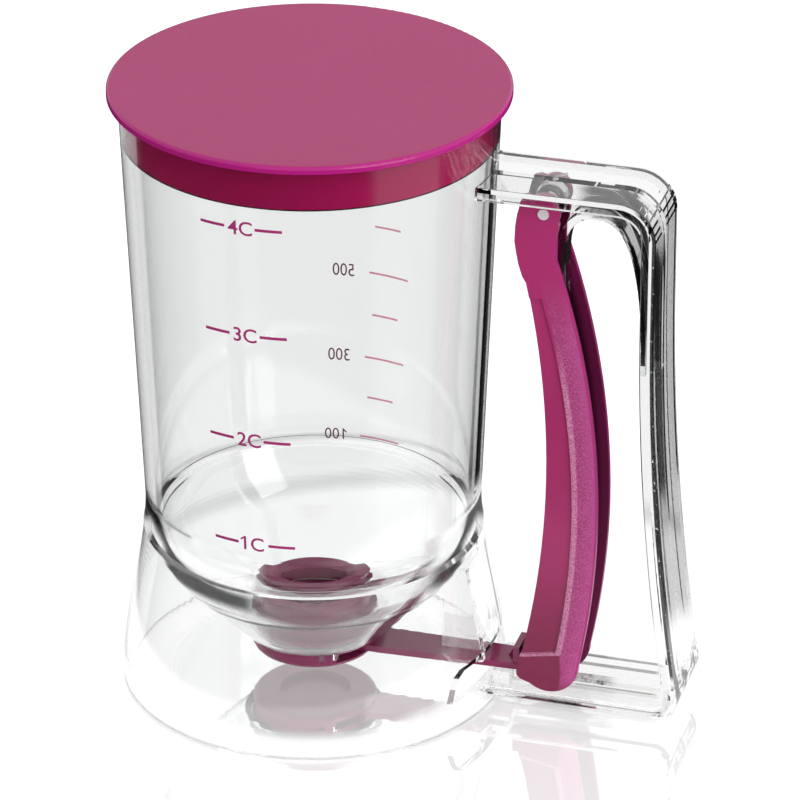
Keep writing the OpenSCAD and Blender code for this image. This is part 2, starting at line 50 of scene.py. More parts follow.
# %% [markdown]
# The hopper's axis isn't at the origin, because the origin lies under the middle of the whole object.
# The lid is round and sits on that axis, so the middle of its box gives the axis. The hopper's wall is
# a plain cone from the bowl up to the rim. Below that the stand flares out to its foot, and the seat
# ring stands a little proud of it. Everything printed on the wall follows these curves.

# %% Where the wall is
lid_low, lid_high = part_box("lid")
hopper_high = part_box("hopper")[1]
AXIS_X = (lid_low[0] + lid_high[0]) / 2
LID_R = lid_high[1]
RIM_Z = hopper_high[2]
RIM_R = hopper_high[0] - AXIS_X
BOWL_Z, BOWL_R, FOOT_R = 58.7 * MM, 48.7 * MM, 56.4 * MM
RING_OUT, RING_LOW, RING_HIGH = 0.2 * MM, 48.5 * MM, 50.9 * MM


def flare_radius(z):
    """Outer radius of the stand at a height: an S-curve from the foot up to the bowl."""
    up = z / BOWL_Z
    return FOOT_R - (FOOT_R - BOWL_R) * up * up * (3 - 2 * up)


def wall_radius(z):
    """Outer radius of the wall at a height: the hopper's cone, or the flare and the seat ring."""
    if z > BOWL_Z:
        return BOWL_R + (z - BOWL_Z) * (RIM_R - BOWL_R) / (RIM_Z - BOWL_Z)
    ring = RING_OUT if RING_LOW < z < RING_HIGH else 0.0
    return flare_radius(z) + ring


print("axis at x = %.2f mm, rim radius %.2f mm" % (AXIS_X / MM, RIM_R / MM))

# %% [markdown]
# The camera stands far back with a long lens, as a product photographer's does, so the sides of the
# hopper hardly converge. It looks down at about 27 degrees, with the handle towards the right and a
# little towards the viewer.

# %% The camera
LENS, SENSOR = 250.38, 36
CAMERA_PLACE = Vector((391.56, -1361.2, 816.09)) * MM
CAMERA_AIM = Vector((-3.6, 6.96, 86.72)) * MM
ROLL = math.radians(-0.09)

camera_data = bpy.data.cameras.new("camera")
camera_data.lens = LENS
camera_data.sensor_width = SENSOR
camera_data.clip_start = 0.1
camera_data.clip_end = 50
camera = bpy.data.objects.new("camera", camera_data)
bpy.context.collection.objects.link(camera)
bpy.context.scene.camera = camera
camera.rotation_mode = "QUATERNION"
camera.location = CAMERA_PLACE
facing = (CAMERA_AIM - CAMERA_PLACE).to_track_quat("-Z", "Y")
camera.rotation_quaternion = facing @ Matrix.Rotation(ROLL, 3, "Z").to_quaternion()
print("camera %.2f m from the object" % (CAMERA_AIM - CAMERA_PLACE).length)

# %% [markdown]
# Shader maths reads better as arithmetic than as a chain of nodes. A small class wraps a socket, so
# that `a * b + 0.1` adds the Math nodes by itself.


# %% A small language for shader maths
class Sock:
    """A socket that Python's operators work on."""

    def __init__(self, tree, socket):
        self.tree, self.socket = tree, socket

    def math(self, operation, *others, clamp=False):
        node = self.tree.nodes.new("ShaderNodeMath")
        node.operation = operation
        node.use_clamp = clamp
        for place, value in enumerate((self,) + others):
            put(self.tree, node.inputs[place], value)
        return Sock(self.tree, node.outputs[0])

    def __add__(self, other):
        return self.math("ADD", other)

    def __sub__(self, other):
        return self.math("SUBTRACT", other)

    def __mul__(self, other):
        return self.math("MULTIPLY", other)

    def __truediv__(self, other):
        return self.math("DIVIDE", other)

    def __neg__(self):
        return self.math("MULTIPLY", -1.0)

    def __rsub__(self, other):
        return (-self).math("ADD", other)

    __radd__ = __add__
    __rmul__ = __mul__

    def power(self, other):
        return self.math("POWER", other)

    def magnitude(self):
        return self.math("ABSOLUTE")

    def positive(self):
        """The value, or 0 where it is negative."""
        return self.math("MAXIMUM", 0.0)

    def clamped(self):
        """The value, kept between 0 and 1."""
        return self.math("ADD", 0.0, clamp=True)


def put(tree, socket, value):
    """Link a socket into another, or set a plain value on it."""
    if isinstance(value, Sock):
        tree.links.new(value.socket, socket)
    else:
        socket.default_value = value


def hypot(a, b):
    """The long side over two sides at right angles."""
    return (a * a + b * b).power(0.5)


# %% [markdown]
# A finish is a material with one Principled shader. Most finishes here change over a piece: a grain
# lies only on a border, and a tint only along an edge. Such places are masks, worked out from where a
# point of the piece is: 1 inside the place, 0 outside it, and a smooth step between the two.


# %% Finishes and their masks
class Finish:
    """A material with one Principled shader, and methods that add other nodes."""

    def __init__(self, name):
        self.material = bpy.data.materials.new(name)
        self.material.use_nodes = True
        self.tree = self.material.node_tree
        self.shader = self.tree.nodes["Principled BSDF"]

    def set(self, **sockets):
        """Set the shader's inputs, with _ in a name for each space."""
        for name, value in sockets.items():
            put(self.tree, self.shader.inputs[name.replace("_", " ")], value)
        return self

    def add(self, kind, settings=None, out=0, **inputs):
        """Add a node. An input goes by its name, with _ for a space, or by its number, as _1."""
        node = self.tree.nodes.new(kind)
        for key, value in (settings or {}).items():
            setattr(node, key, value)
        for name, value in inputs.items():
            key = int(name[1:]) if name[0] == "_" else name.replace("_", " ")
            put(self.tree, node.inputs[key], value)
        return Sock(self.tree, node.outputs[out])

    def surface(self):
        return Sock(self.tree, self.shader.outputs[0])

    def place(self):
        return self.add("ShaderNodeTexCoord", out="Object")

    def xyz(self, vector):
        return [self.add("ShaderNodeSeparateXYZ", out=i, Vector=vector) for i in range(3)]

    def from_axis(self):
        """A point's reach from the hopper's axis towards the handle, its y and its height."""
        x, y, z = self.xyz(self.place())
        return x - AXIS_X, y, z

    def noise(self, scale, detail=2.0, rough=0.5, vector=None):
        return self.add("ShaderNodeTexNoise", out="Fac", Vector=vector or self.place(),
                        Scale=scale, Detail=detail, Roughness=rough)

    def bump(self, height, distance):
        return self.add("ShaderNodeBump", out="Normal", Height=height, Distance=distance)

    def mix(self, factor, first, second):
        """The first colour where the factor is 0, the second where it is 1."""
        node = self.tree.nodes.new("ShaderNodeMix")
        node.data_type = "RGBA"
        put(self.tree, node.inputs[0], factor)
        put(self.tree, node.inputs[6], first)
        put(self.tree, node.inputs[7], second)
        return Sock(self.tree, node.outputs[2])

    def above(self, value, low, high):
        """0 below low, 1 above high, and a smooth rise between them."""
        return self.add("ShaderNodeMapRange", {"interpolation_type": "SMOOTHSTEP"},
                        Value=value, _1=low, _2=high)

    def below(self, value, low, high):
        """1 below low, 0 above high, and a smooth fall between them."""
        return 1 - self.above(value, low, high)

    def within(self, value, low, high, soft):
        """1 between low and high, 0 outside them, and soft edges."""
        return self.above(value, low - soft, low + soft) * self.below(value, high - soft, high + soft)


def rgb(red, green, blue):
    """A colour as a socket takes it, with its opacity as the fourth value."""
    return (red, green, blue, 1)


# %% [markdown]
# A CAD object comes with one slot or several, and a finish goes into each of them.


# %% Dressing a piece
def dress(node, finish):
    """Give a CAD node a finish in every one of its slots."""
    mesh = nodes[node].data
    for place in range(max(1, len(mesh.materials))):
        if place < len(mesh.materials):
            mesh.materials[place] = finish.material
        else:
            mesh.materials.append(finish.material)
    print("%s: %s, %d shader nodes" % (node, finish.material.name, len(finish.tree.nodes)))


# %% [markdown]
# Clear polished plastic bends light much as glass does, with an index near 1.49. It has next to no
# colour of its own, and what shows is its edges, where light is turned aside or trapped in the wall.
# A renderer gives up on trapped light and draws it black, where real plastic lets it leak out again. So
# the few edges that trap it most are let through in part: the sides of the seat ring, on the viewer's
# half, and further down the stand's two guides and the edge that it stands on.

# %% Clear plastic of the hopper and the stand
VIEWER_X, VIEWER_Y = 0.294, -0.956  # the level direction from the axis to the viewer
RING_SHIFT = 8 * MM
GUIDE_IN, GUIDE_OUT = 6.8 * MM, 9.3 * MM
STAND_WALL = 2.3 * MM
RING_LEAK, GUIDE_LEAK, RIM_LEAK = 0.88, 0.75, 0.6  # shares of the light that goes straight through


def clear_plastic(name):
    """Clear plastic, with the coordinates that its masks need."""
    finish = Finish(name)
    finish.set(Base_Color=rgb(0.985, 0.99, 0.99), Roughness=0.0, IOR=1.49, Transmission_Weight=1.0)
    return (finish,) + finish.from_axis()


clear, reach, y, z = clear_plastic("clear_hopper")
rightward = reach * -VIEWER_Y + y * VIEWER_X
nearer = reach * VIEWER_X + y * VIEWER_Y
at_ring = (clear.above(hypot(reach, y), 42 * MM, 45 * MM)
           * clear.below(z, 59.5 * MM, 61 * MM)
           * clear.above((rightward - RING_SHIFT).magnitude(), 21 * MM, 29 * MM)
           * clear.above(nearer, -4 * MM, 4 * MM))
clear.set(Base_Color=rgb(0.968, 0.973, 0.973), Alpha=1 - RING_LEAK * at_ring)
dress("hopper", clear)

clear, reach, y, z = clear_plastic("clear_stand")
inside_wall = hypot(reach, y) - (flare_radius(z) - STAND_WALL)
at_guide = (clear.above(reach, 39 * MM, 40 * MM)
            * clear.within(y.magnitude(), GUIDE_IN, GUIDE_OUT, 0.1 * MM)
            * clear.below(inside_wall, -0.3 * MM, 0.0))
at_rim = clear.below(z, 0.6 * MM, 1.2 * MM)
clear.set(Alpha=1 - (GUIDE_LEAK * at_guide + RIM_LEAK * at_rim).clamped())
dress("stand", clear)

# %% [markdown]
# The handle is the same plastic, but its web is thin and stands between two lips, and light that gets
# into it stays there: on the real one the web reads as a dark line down the grip bar and a dark patch
# round the finger arch. In light as even as this scene's the web stays bright, so these dark lines are
# painted into the plastic's colour as painted shade. The lines follow the bar's outline, so the depth
# under the outline is worked out first: a rounded corner at the top, and a slow flare further down.

# %% How deep a point is in the handle
GRIP_X, TOP_Z, CORNER = 103.1 * MM, 166.4 * MM, 11 * MM
FLARE_Z, FLARE_BEND = 131 * MM, 759 * MM


def depth_in_handle(reach, z):
    """How deep a point lies under the handle's outer outline."""
    down = (FLARE_Z - z).positive()
    inward = (reach - down * down / (2 * FLARE_BEND) - (GRIP_X - CORNER)).positive()
    upward = (z - (TOP_Z - CORNER)).positive()
    return CORNER - hypot(inward, upward)


clear, reach, y, z = clear_plastic("clear_handle")
depth = depth_in_handle(reach, z)
mottle = clear.noise(900.0, 3.0, 0.6)
on_web = clear.below(y.magnitude(), 1.6 * MM, 1.9 * MM)
print("the grip bar flares from %.0f mm down" % (FLARE_Z / MM))

# %% [markdown]
# Two lines of painted shade run down the grip bar: the web in its middle, and the edge of the lip on
# the viewer's side. That edge wanders sideways a little as the bar grows wider towards its foot.

# %% Painted shade lines down the grip bar
LIP_Y, LIP_WANDER, LIP_RETURN = 13.2 * MM, 1.2 * MM, 1.6 * MM

web_line = (clear.within(depth, 2.0 * MM, 4.2 * MM, 0.15 * MM)
            * on_web
            * clear.above(reach, 86 * MM, 96 * MM)
            * clear.within(z, 70 * MM, 148 * MM, 6 * MM))
lip_y = (LIP_WANDER * clear.above(z, 70 * MM, 105 * MM) + LIP_Y
         - LIP_RETURN * clear.below(z, 12 * MM, 24 * MM))
edge_line = (clear.within(y + lip_y, -1.4 * MM, 2.3 * MM, 0.3 * MM)
             * clear.below(depth, 0.8 * MM, 1.0 * MM)
             * clear.above(reach, 96 * MM, 99 * MM)
             * clear.above(mottle, 0.30, 0.36))
on_grip = web_line * (0.8 + 0.2 * mottle) + edge_line
print("web line and edge line down the grip bar")

# %% [markdown]
# At the foot of the bar the light breaks into blobs, and the bottom bar's far edge and its rib each
# draw one dark line. All of these are painted shade.

# %% Painted dark marks at the handle's foot
blobs = (clear.above(clear.noise(260.0, 2.0, 0.6), 0.52, 0.57)
         * clear.above(reach, 101 * MM, 104 * MM)
         * clear.within(z, 7 * MM, 17 * MM, 1.5 * MM)
         * clear.below(depth, 2.4 * MM, 3 * MM))
far_edge = (clear.within(reach, 76 * MM, 101 * MM, 1.5 * MM)
            * clear.above(y, 11.6 * MM, 12 * MM)
            * clear.below(z, 4.6 * MM, 5 * MM))
rib_line = (clear.within(reach, 74 * MM, 90 * MM, 2.5 * MM)
            * on_web
            * clear.within(z, 6.9 * MM, 8.6 * MM, 0.2 * MM))
in_foot = blobs + far_edge * 0.85 + rib_line * mottle * 1.5
print("blobs, far edge and rib at the foot")

# %% [markdown]
# The finger arch is squarish, so its curve is a superellipse: the sum of two powers of 2.5 instead of
# the squares of an ellipse. The patch of painted shade is a band just outside that curve. Streaks run
# along it, because the noise is stretched in the band's direction.

# %% The painted dark band round the finger arch
ARCH_X, ARCH_TOP, ARCH_W, ARCH_H = 84.6 * MM, 157.1 * MM, 13.2 * MM, 46.3 * MM
ARCH_POWER = 2.5
STREAKS_ACROSS, STREAKS_ALONG = 26.0, 30.0

across_arch = ((reach - ARCH_X) / ARCH_W).positive()
up_arch = ((z - (ARCH_TOP - ARCH_H)) / ARCH_H).positive()
outside = (across_arch.power(ARCH_POWER) + up_arch.power(ARCH_POWER)).power(1 / ARCH_POWER)
arch_band = (clear.within(outside, 1.03, 1.27, 0.02)
             * clear.below(y.magnitude(), 5.1 * MM, 5.3 * MM)
             * clear.above(depth, 2.2 * MM, 2.6 * MM)
             * clear.above(reach, 76 * MM, 82 * MM)
             * clear.above(z, 112 * MM, 126 * MM))
along_arch = clear.add("ShaderNodeCombineXYZ", X=outside * STREAKS_ACROSS,
                       Y=z * STREAKS_ALONG, Z=reach * STREAKS_ALONG)
streaks = clear.above(clear.noise(1.0, 2.0, 0.5, along_arch), 0.40, 0.50)
round_arch = arch_band * (0.7 + 0.3 * streaks)
print("arch %.1f mm wide, %.1f mm high" % (ARCH_W / MM, ARCH_H / MM))

# %% [markdown]
# The bottom bar is a shade greyer than the rest. Its lowest edge on the viewer's side lets light
# through in part, as the edge under the stand does.

# %% Clear plastic of the handle
GREYER, CLEARER = rgb(0.89, 0.895, 0.89), rgb(0.95, 0.957, 0.953)
PAINTED_SHADE_BLACK = rgb(0.004, 0.004, 0.004)
FOOT_LEAK = 0.88

# Painted shade: where the lines, blobs and arch band lie, the plastic's colour goes nearly black.
painted_shade_lines = (on_grip + in_foot + round_arch).clamped()
plastic = clear.mix(clear.above(z, 9 * MM, 15 * MM), GREYER, CLEARER)
at_foot = clear.below(z, 6.6 * MM, 7.2 * MM) * clear.below(y, -10.5 * MM, -10 * MM)
clear.set(Base_Color=clear.mix(painted_shade_lines, plastic, PAINTED_SHADE_BLACK), Alpha=1 - FOOT_LEAK * at_foot)
dress("handle_frame", clear)

# %% [markdown]
# The lid and the trigger are moulded in one purple. The lid's top has a fine spark-eroded grain that
# scatters light evenly. Its rim and the plug below it are left smooth, and each gets a colour of its
# own:
# a painted highlight on the rim's edge, and painted shade on the plug under the rim.

# %% The lid's purple
TOP_DARK, TOP_PALE = rgb(0.335, 0.015, 0.110), rgb(0.405, 0.026, 0.150)
LID_EDGE_HIGHLIGHT, LID_PLUG_SHADE = rgb(0.42, 0.010, 0.19), rgb(0.54, 0.008, 0.118)

purple = Finish("lid_purple")
reach, y, z = purple.from_axis()
on_edge = purple.above(hypot(reach, y), LID_R - 0.9 * MM, LID_R - 0.4 * MM)
on_plug = purple.below(z, RIM_Z - 0.3 * MM, RIM_Z - 0.1 * MM)
smooth = (on_edge + on_plug).clamped()
speckle = purple.noise(1500.0, 3.0, 0.7) * 0.7 + purple.noise(28.0, 2.0, 0.5) * 0.3
grain = purple.noise(2600.0, 2.0, 0.6) * (1 - smooth)
top_colour = purple.mix(speckle, TOP_DARK, TOP_PALE)
# Painted highlight on the rim's edge and painted shade on the plug, each a colour of its own.
edge_highlight_plug_shade = purple.mix(on_plug, LID_EDGE_HIGHLIGHT, LID_PLUG_SHADE)
purple.set(
    Base_Color=purple.mix(smooth, top_colour, edge_highlight_plug_shade),
    Roughness=0.42 - 0.24 * smooth, Specular_IOR_Level=0.34,
    Normal=purple.bump(grain, 0.08 * MM))
dress("lid", purple)

# %% [markdown]
# The trigger's cheeks have a smooth sunk panel, and a raised border along the front edge with a
# grain that fingers can grip, painted with glints. The border is found by its distance from the front
# curve, and the panel's foot by its height over a slanting line.

# %% Places on the trigger
FRONT_X, FRONT_Z, FRONT_R = 86.6 * MM, 64.7 * MM, 250 * MM
BORDER, FOOT_NARROWER, BEAD = 7.3 * MM, 2.8 * MM, 1.5 * MM
PANEL_X, PANEL_Z, PANEL_SLOPE = 48.7 * MM, 14.3 * MM, 0.185

purple = Finish("trigger_purple")
reach, y, z = purple.from_axis()
climb = z - FRONT_Z
from_front = FRONT_X - climb * climb / (2 * FRONT_R) - reach
over_foot = z - PANEL_Z - (reach - PANEL_X) * PANEL_SLOPE
width = BORDER - FOOT_NARROWER * purple.below(z, 8 * MM, 24 * MM)
grained = (purple.below(from_front, width - 0.8 * MM, width + 0.1 * MM)
           * purple.above(z, 5 * MM, 12 * MM)
           * purple.below(z, 118 * MM, 142 * MM))
side_bead = (purple.within(from_front, BORDER - BEAD, BORDER + 0.2 * MM, 0.25 * MM)
             * purple.above(over_foot, -0.8 * MM, -0.2 * MM)
             * purple.below(z, 100 * MM, 122 * MM))
foot_bead = (purple.within(over_foot, -0.9 * MM, 0.2 * MM, 0.2 * MM)
             * purple.above(from_front, BORDER - BEAD, BORDER - BEAD + 0.3 * MM))
bead = (side_bead + foot_bead).clamped()
lip = purple.below(from_front, 0.3 * MM, 0.7 * MM) * purple.within(z, 12 * MM, 150 * MM, 4 * MM)
inside = purple.below(y.magnitude(), 6.3 * MM, 6.9 * MM)
print("border %.1f mm wide, bead %.1f mm" % (BORDER / MM, BEAD / MM))

# %% [markdown]
# The sparkle is one fine noise, used three times: it paints glints on the grain, it paints a highlight
# along the bead beside the panel, and it is the height of the grain's bumps. Towards the front edge the
# grain is paler, and the lip paler still: painted highlight. The panel is darker towards its foot, where
# less light falls, and paler towards its head: painted shade and painted light. The channel between the
# cheeks is darkest of all: painted shade.

# %% The trigger's colours
GRAIN_DARK, GRAIN_LIT, GRAIN_LIP_HIGHLIGHT = rgb(0.33, 0.022, 0.125), rgb(0.58, 0.115, 0.34), rgb(0.62, 0.10, 0.36)
PANEL_DARK, PANEL_PALE = rgb(0.38, 0.022, 0.125), rgb(0.44, 0.034, 0.160)
PANEL_FOOT_SHADE, PANEL_HEAD_LIGHT = rgb(0.185, 0.002, 0.045), rgb(0.49, 0.036, 0.180)
BEAD_LIT, LIP_EDGE_HIGHLIGHT = rgb(0.80, 0.36, 0.56), rgb(0.47, 0.03, 0.21)
CHANNEL_EDGE_SHADE, CHANNEL_DEEP_SHADE = rgb(0.22, 0.010, 0.085), rgb(0.030, 0.001, 0.010)

sparkle = purple.noise(4200.0, 2.0, 0.6)
lit = purple.above(sparkle, 0.36, 0.66)
low_down = purple.below(z, 14 * MM, 60 * MM)
high_up = purple.above(z, 95 * MM, 135 * MM)
near_lip = purple.below(from_front, 0.5 * MM, 5 * MM)
# Painted glints on the grain, and a painted highlight towards the front edge.
grain_and_glint_colour = purple.mix(lit, GRAIN_DARK, GRAIN_LIT)
grain_and_glint_colour = purple.mix(near_lip * 0.45, grain_and_glint_colour, GRAIN_LIP_HIGHLIGHT)
panel_tone_and_light = purple.mix(purple.noise(60.0, 2.0, 0.5), PANEL_DARK, PANEL_PALE)
# Painted shade towards the panel's foot, and painted light towards its head.
panel_tone_and_light = purple.mix(low_down * 0.85, panel_tone_and_light, PANEL_FOOT_SHADE)
panel_tone_and_light = purple.mix(high_up * 0.7, panel_tone_and_light, PANEL_HEAD_LIGHT)
outer_colour = purple.mix(grained, panel_tone_and_light, grain_and_glint_colour)
# Painted highlight along the bead and on the lip.
outer_colour = purple.mix(bead * (0.15 + 0.75 * lit), outer_colour, BEAD_LIT)
outer_colour = purple.mix(lip, outer_colour, LIP_EDGE_HIGHLIGHT)
# Painted shade in the channel between the cheeks.
channel_shade_colour = purple.mix(purple.above(from_front, 1.5 * MM, 4.5 * MM), CHANNEL_EDGE_SHADE, CHANNEL_DEEP_SHADE)
roughened = sparkle * grained + purple.noise(2400.0, 2.0, 0.6) * 0.15
purple.set(
    Base_Color=purple.mix(inside, outer_colour, channel_shade_colour),
    Roughness=0.28 + 0.14 * grained, Specular_IOR_Level=0.4,
    Normal=purple.bump(roughened, 0.06 * MM))
dress("trigger", purple)

# %% [markdown]
# The valve's pieces sit behind two or three clear walls, and are plain and smooth.

# %% The valve's purple
purple = Finish("valve_purple")
drift = purple.noise(90.0, 2.0, 0.5)
purple.set(Base_Color=purple.mix(drift, rgb(0.26, 0.010, 0.085), rgb(0.33, 0.018, 0.12)), Roughness=0.25)
for name in ("valve_seat", "outlet_collar", "gate_slider"):
    dress(name, purple)

# %% [markdown]
# The seals are pale rubber, the spring is bright steel, and the pin's end is pale and satin.

# %% Seals, pin and spring
rubber = Finish("pale_rubber").set(Base_Color=rgb(0.8, 0.8, 0.78), Roughness=0.5)
steel = Finish("bright_steel").set(Base_Color=rgb(0.8, 0.8, 0.8), Metallic=1.0, Roughness=0.2)
satin = Finish("satin_pin").set(Base_Color=rgb(0.86, 0.80, 0.83), Metallic=0.2, Roughness=0.4)
for name, finish in (("neck_seal", rubber), ("gate_seal", rubber),
                     ("return_spring", steel), ("pivot_pin", satin)):
    dress(name, finish)

# %% [markdown]
# The scales are printed on the outside of the wall. Each mark starts as flat text or a flat bar and
# is then wrapped round the axis, a hair's breadth off the wall so that the ink lies on the plastic.
# Long edges are cut first, so that they can bend.

# %% Wrapping print round the wall
INK_GAP = 0.06 * MM
LONG_EDGE = 1.2 * MM


def wrap(bm, azimuth, height):
    """Wrap a flat mesh round the wall. Its x runs to the reader's right and its y runs up."""
    long_edges = [edge for edge in bm.edges if edge.calc_length() > LONG_EDGE]
    bmesh.ops.subdivide_edges(bm, edges=long_edges, cuts=3, use_grid_fill=True)
    for vert in bm.verts:
        z = height + vert.co.y
        r = wall_radius(z) + INK_GAP + vert.co.z
        angle = azimuth + vert.co.x / wall_radius(height)
        vert.co = Vector((AXIS_X + r * math.cos(angle), r * math.sin(angle), z))


def print_mesh(name, bm, ink):
    """Turn a wrapped mesh into a piece that moves with the container."""
    mesh = bpy.data.meshes.new(name)
    bmesh.ops.recalc_face_normals(bm, faces=bm.faces)
    bm.to_mesh(mesh)
    bm.free()
    piece = bpy.data.objects.new(name, mesh)
    bpy.context.collection.objects.link(piece)
    mesh.materials.append(ink.material)
    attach(piece, "container")
    print("%s: %d faces" % (name, len(mesh.polygons)))


# %% [markdown]
# Blender's own font has a plain figure 1 without the small flag that moulds and scales give it, so the
# flag is a short slanting bar, joined to the text.

# %% Flat text and bars
FLAG_T, FLAG_SLANT = 0.5 * MM, math.radians(38)


def flat_text(words, size, bold):
    """Text as a flat bmesh, centred on the origin."""
    curve = bpy.data.curves.new("words", "FONT")
    curve.body = words
    curve.size = size
    curve.align_x = "CENTER"
    curve.align_y = "CENTER"
    curve.offset = bold
    curve.resolution_u = 4
    thing = bpy.data.objects.new("words", curve)
    bpy.context.collection.objects.link(thing)
    bpy.context.view_layer.update()
    mesh = bpy.data.meshes.new_from_object(thing)
    bm = bmesh.new()
    bm.from_mesh(mesh)
    bpy.data.objects.remove(thing)
    bpy.data.meshes.remove(mesh)
    bpy.data.curves.remove(curve)
    low, high = min(v.co.y for v in bm.verts), max(v.co.y for v in bm.verts)
    left, right = min(v.co.x for v in bm.verts), max(v.co.x for v in bm.verts)
    bmesh.ops.translate(bm, verts=bm.verts, vec=(-(left + right) / 2, -(low + high) / 2, 0))
    return bm


def flat_bar(left, right, thick):
    """A level bar from left to right, halfway up the text."""
    bm = bmesh.new()
    bmesh.ops.create_grid(bm, x_segments=10, y_segments=1, size=0.5)
    bmesh.ops.scale(bm, verts=bm.verts, vec=(right - left, thick, 1))
    bmesh.ops.translate(bm, verts=bm.verts, vec=((left + right) / 2, 0, 0))
    return bm


def flag(words):
    """The small flag at the top of a figure 1 that starts a word."""
    top = max(v.co.y for v in words.verts)
    left = min(v.co.x for v in words.verts)
    bm = flat_bar(-1.25 * MM, 0.45 * MM, FLAG_T)
    bmesh.ops.rotate(bm, verts=bm.verts, matrix=Matrix.Rotation(FLAG_SLANT, 3, "Z"))
    bmesh.ops.translate(bm, verts=bm.verts, vec=(left, top - FLAG_T, 0))
    return bm


def join(*parts):
    """One bmesh from several, which are used up."""
    whole = bmesh.new()
    for part in parts:
        mesh = bpy.data.meshes.new("part")
        part.to_mesh(mesh)
        part.free()
        whole.from_mesh(mesh)
        bpy.data.meshes.remove(mesh)
    return whole


# %% [markdown]
# The cup scale faces the reader who holds the handle in the right hand. Each line reads dash, number,
# dash. Every mark is given by its count, its height in millimetres and its direction in degrees.

# %% The cup scale
CUP_MARKS = ((4, 165.1, -94.4), (3, 131.8, -93.9), (2, 98.5, -93.7), (1, 64.8, -93.2))
CUP_TEXT, CUP_BOLD, CUP_DASH = 6.1 * MM, 0.07 * MM, 0.9 * MM

cup_ink = Finish("purple_ink").set(Base_Color=rgb(0.40, 0.016, 0.17), Roughness=0.5)
for count, height, turn in CUP_MARKS:
    words = flat_text("%dC" % count, CUP_TEXT, CUP_BOLD)
    parts = [words, flat_bar(-12.2 * MM, -4.6 * MM, CUP_DASH), flat_bar(4.3 * MM, 12.0 * MM, CUP_DASH)]
    if count == 1:
        parts.append(flag(words))
    marks = join(*parts)
    wrap(marks, math.radians(turn), height * MM)
    print_mesh("cup_mark_%d" % count, marks, cup_ink)

# %% [markdown]
# The millilitre scale is on the far side, so from the front it shows through, reversed. Its odd
# hundreds have a long dash and a number, and the even ones only a short dash. The dashes are printed
# thinner than the numbers and look pale from the front: a glow of their own, painted light, stands for
# the light that comes through them.

# %% The millilitre scale
ML_MARKS = ((1, 51.7, 89.7), (2, 65.0, 87.0), (3, 78.0, 88.1),
            (4, 91.9, 85.5), (5, 105.3, 86.7), (6, 120.2, 84.8))
LONG_DASH, SHORT_DASH, DASH_T = 13.4 * MM, 8.8 * MM, 0.62 * MM
ML_TEXT, ML_NARROW, ML_PLACE = 5.6 * MM, 0.85, 8.2 * MM

number_ink = Finish("dark_purple_ink").set(Base_Color=rgb(0.38, 0.07, 0.14), Roughness=0.5)
# The glow is painted light on the dashes, which are seen from behind through the wall.
dash_ink = Finish("glowing_dash_ink").set(
    Base_Color=rgb(0.30, 0.05, 0.10), Roughness=0.5,
    Emission_Color=rgb(0.52, 0.22, 0.28), Emission_Strength=1.0)
for count, height, turn in ML_MARKS:
    odd = count % 2 == 1
    dash = flat_bar(-LONG_DASH if odd else -SHORT_DASH, 0.0, DASH_T)
    wrap(dash, math.radians(turn), height * MM)
    print_mesh("ml_dash_%d00" % count, dash, dash_ink)
    if odd:
        words = flat_text("%d00" % count, ML_TEXT, 0.0)
        if count == 1:
            words = join(words, flag(words))
        bmesh.ops.scale(words, verts=words.verts, vec=(ML_NARROW, 1, 1))
        bmesh.ops.translate(words, verts=words.verts, vec=(ML_PLACE, 0, 0))
        wrap(words, math.radians(turn), height * MM)
        print_mesh("ml_number_%d00" % count, words, number_ink)

# %% [markdown]
# The floor is a sheet of white acrylic. A glow of its own keeps it plain white to the lens, with a
# trace of shadow, while the purple pieces get little light from below. The sheet lies a hair's breadth
# under the object, so that the two never share a plane.

# %% The floor
FLOOR_HALF, FLOOR_GAP = 3.0, 0.2 * MM
GLOW, GLOW_LEAST = 0.74, 0.12

bm = bmesh.new()
bmesh.ops.create_grid(bm, x_segments=1, y_segments=1, size=FLOOR_HALF)
mesh = bpy.data.meshes.new("floor")
bm.to_mesh(mesh)
bm.free()
floor = bpy.data.objects.new("floor", mesh)
bpy.context.collection.objects.link(floor)
floor.location.z = -FLOOR_GAP

acrylic = Finish("white_floor")
x, y, z = acrylic.xyz(acrylic.place())
radius = hypot(x - AXIS_X, y)
from_middle = hypot(x, y)
to_lens = acrylic.add("ShaderNodeLightPath", out="Is Camera Ray")
through = acrylic.add("ShaderNodeLightPath", out="Is Transmission Ray")
mirrored = acrylic.add("ShaderNodeLightPath", out="Is Glossy Ray")
glow = (to_lens + through + mirrored).clamped() * GLOW + GLOW_LEAST
acrylic.set(
    Base_Color=rgb(0.32, 0.32, 0.32), Roughness=0.03, IOR=1.5,
    Emission_Color=acrylic.mix(glow, rgb(0, 0, 0), rgb(1, 1, 1)), Emission_Strength=1.0)
print("floor %.1f m wide" % (2 * FLOOR_HALF))

# %% [markdown]
# Acrylic is glossy enough to mirror the object. The mirror is strong under the valve, weaker outside
# the stand, and fades away from the object. Clear plastic shows its form only where it bends light
# aside to something dark, so a studio stands black cards beside the white table. Here one such card is
# the floor itself. Further out than the object it is dark for mirrored rays, with a paler stretch on
# the handle's side, and rays that come through the plastic pass it and reach the studio's own cards.

# %% The floor's mirror and its card
DEGREE = math.radians(1)
VALVE_SHINE, OUTER_SHINE = 0.62, 0.3
CARD_DARK, CARD_PALER = 0.02, 0.5

